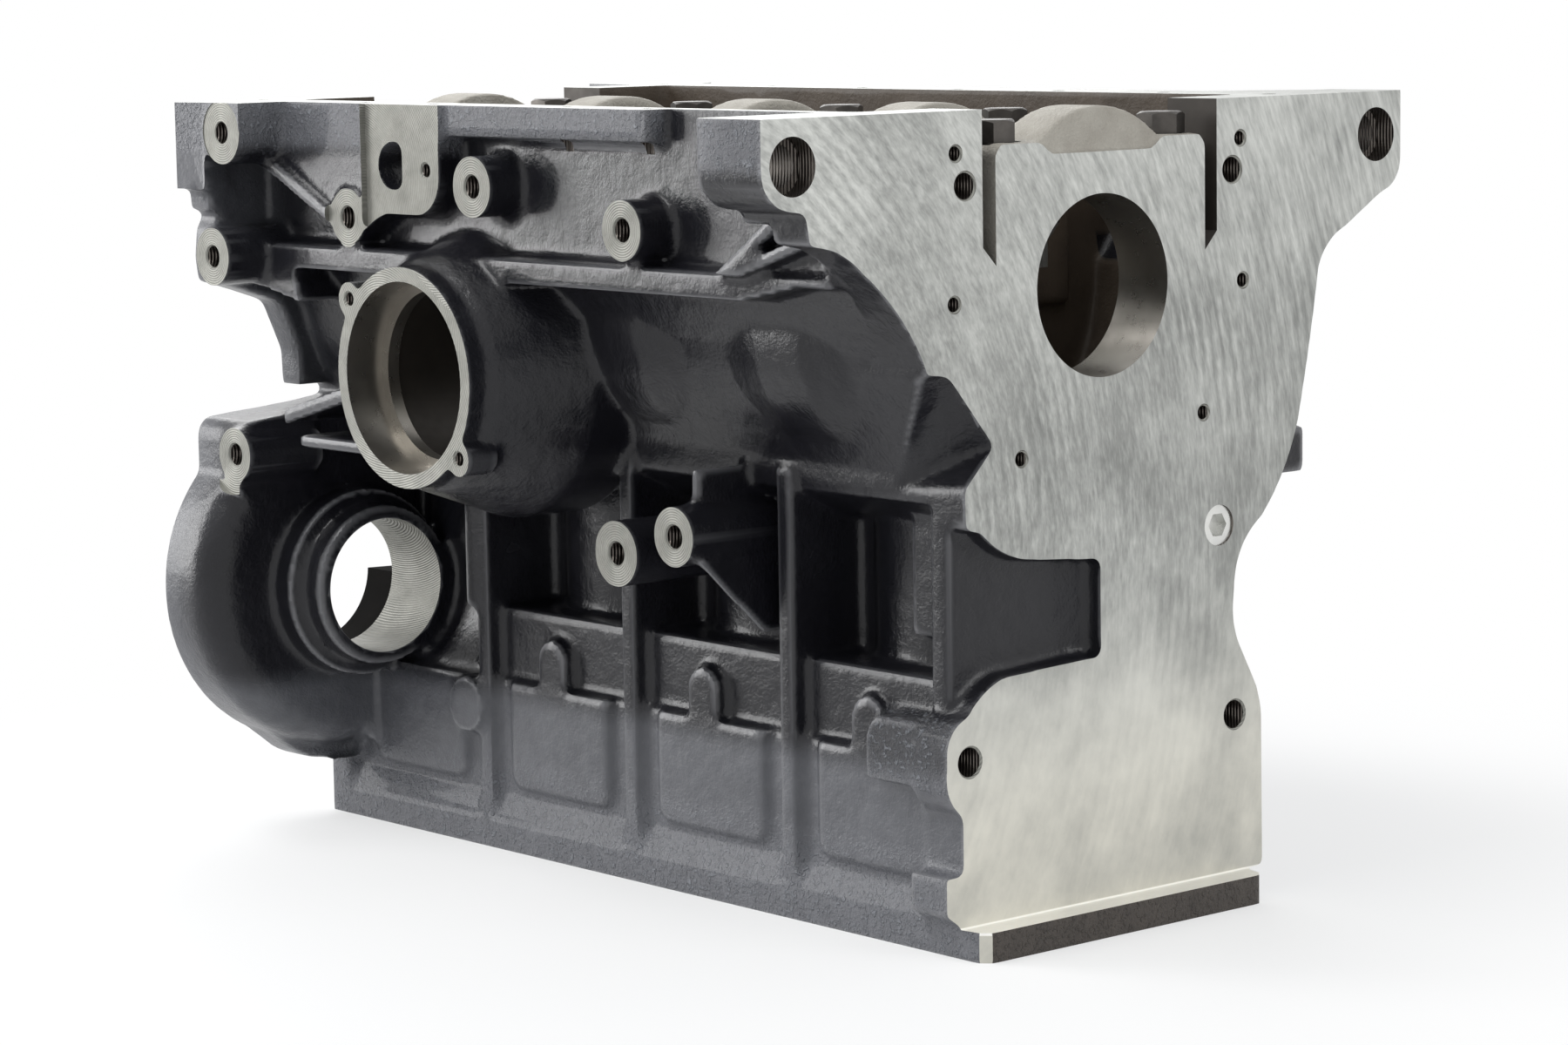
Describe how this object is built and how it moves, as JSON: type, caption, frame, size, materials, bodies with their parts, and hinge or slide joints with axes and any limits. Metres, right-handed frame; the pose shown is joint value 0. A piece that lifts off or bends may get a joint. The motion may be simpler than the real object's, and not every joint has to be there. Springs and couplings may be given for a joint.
{
  "type": "engine block",
  "caption": "Bare in-line cast iron engine block with bolted main bearing caps, pump housing and breather ring, standing on its head deck.",
  "frame": {"origin": "middle of the head deck face, between the two middle cylinders", "axes": "+X along the crankshaft to the gearbox end, +Y away from the water pump side, +Z from the head deck up to the oil pan rail"},
  "size_m": [0.42, 0.31, 0.2895],
  "materials": {
    "black_paint": "gloss",
    "milled_iron": "milled",
    "bolt_steel": "satin",
    "plug_steel": "bright"
  },
  "bodies": {
    "root": {"cylinder_block": "black_paint", "main_bearing_cap_1": "milled_iron", "main_bearing_cap_2": "milled_iron", "main_bearing_cap_3": "milled_iron", "main_bearing_cap_4": "milled_iron", "main_bearing_cap_5": "milled_iron", "main_cap_bolts": "bolt_steel", "core_plugs": "plug_steel", "oil_gallery_plugs": "plug_steel"}
  },
  "joints": []
}
